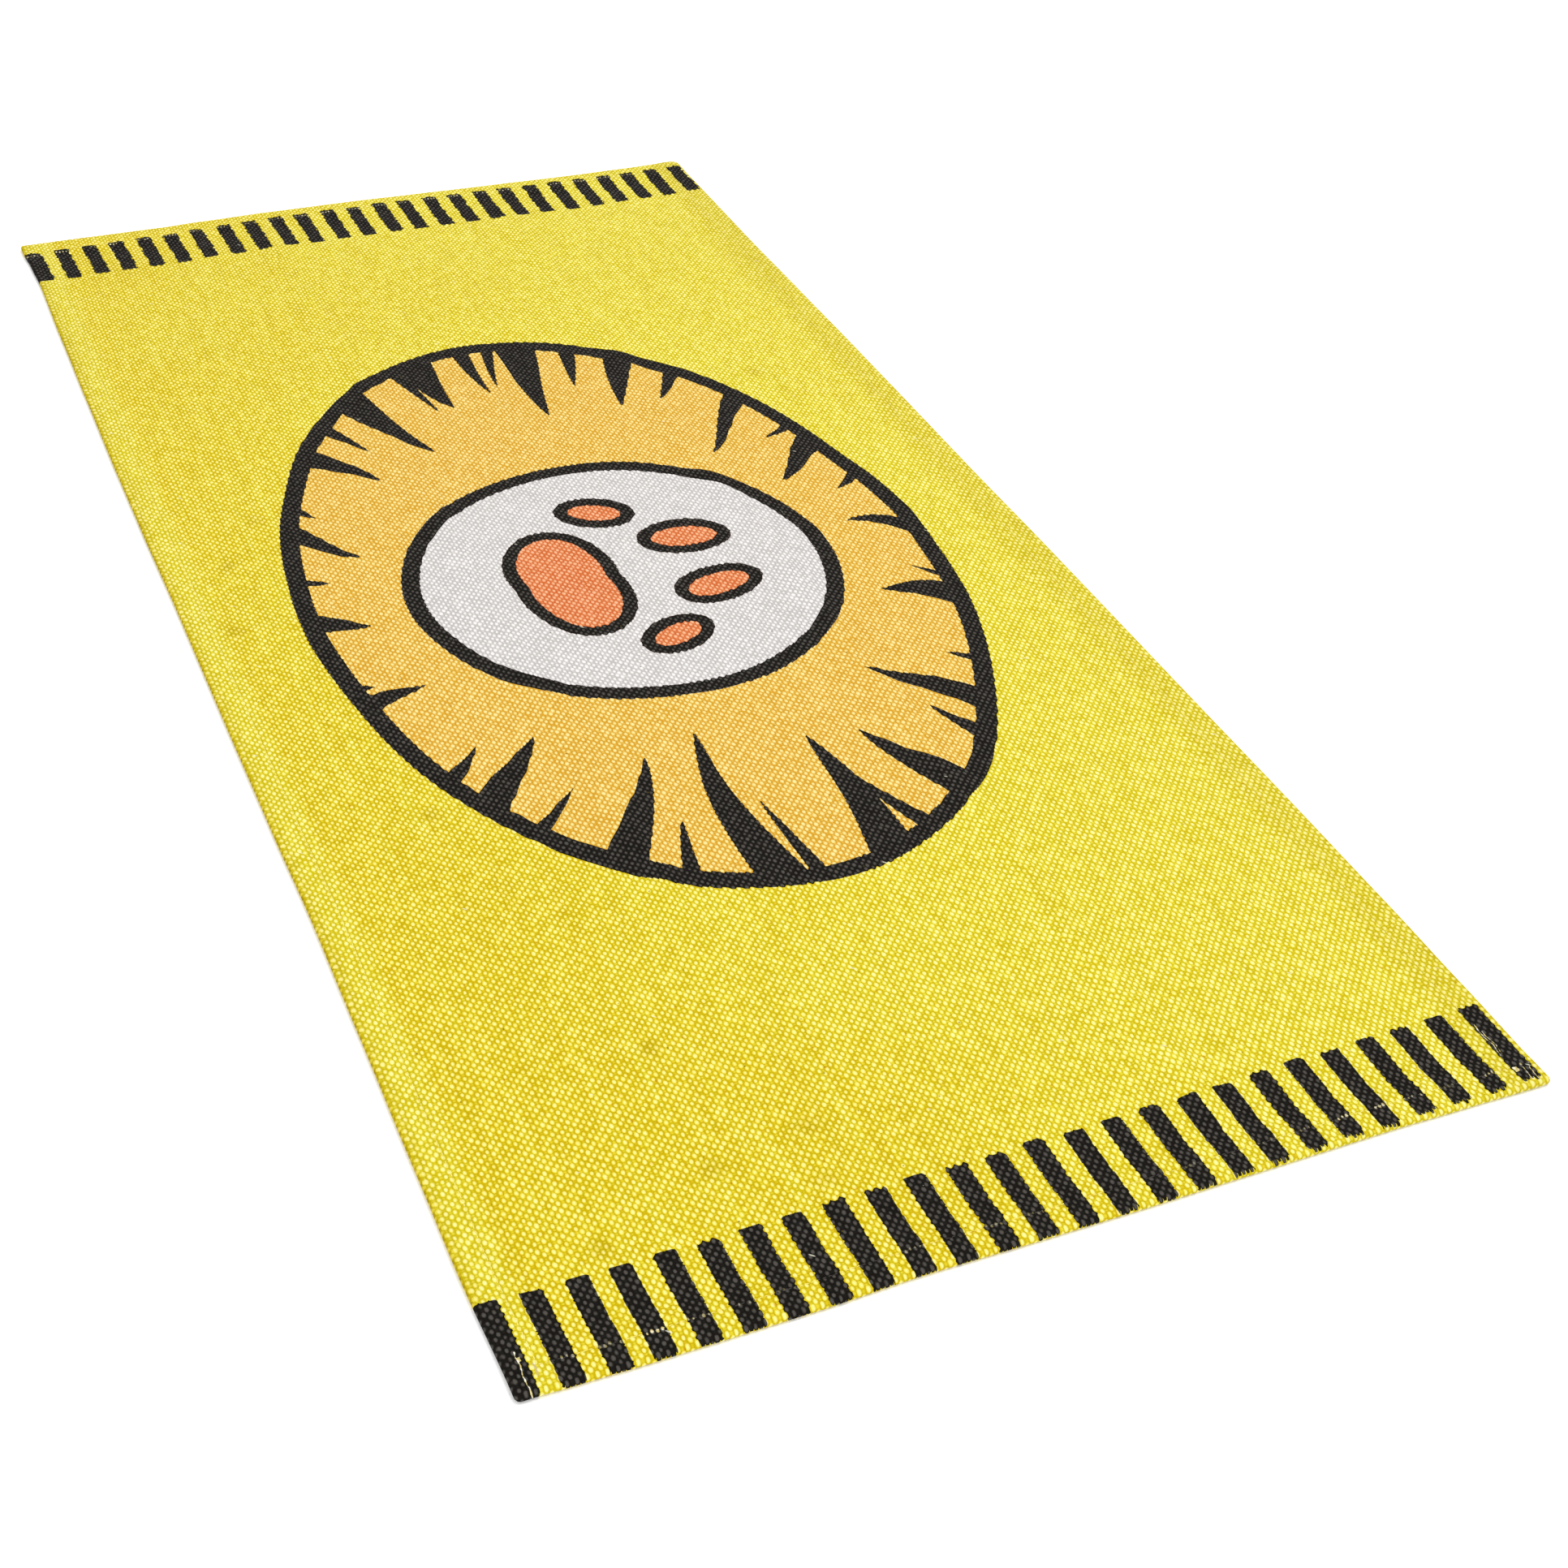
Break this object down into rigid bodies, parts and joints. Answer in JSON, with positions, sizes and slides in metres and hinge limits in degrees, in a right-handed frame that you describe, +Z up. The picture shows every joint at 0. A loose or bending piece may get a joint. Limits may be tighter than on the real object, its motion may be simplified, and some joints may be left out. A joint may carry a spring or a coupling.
{
  "type": "flat woven kids rug",
  "caption": "Rectangular flat-woven cotton floor rug with a turned and sewn hem on all four sides, lying flat with soft storage creases.",
  "frame": {"origin": "on the floor, under the middle of the rug's bounding box", "axes": "+X along the rug's length, towards the end that is nearest in the picture; +Y across its width; +Z up, out of the printed face"},
  "size_m": [1.4016, 0.6512, 0.0048],
  "materials": {
    "cotton": "printed plain-weave cotton, matt"
  },
  "bodies": {
    "root": {"rug": "cotton"}
  },
  "joints": []
}
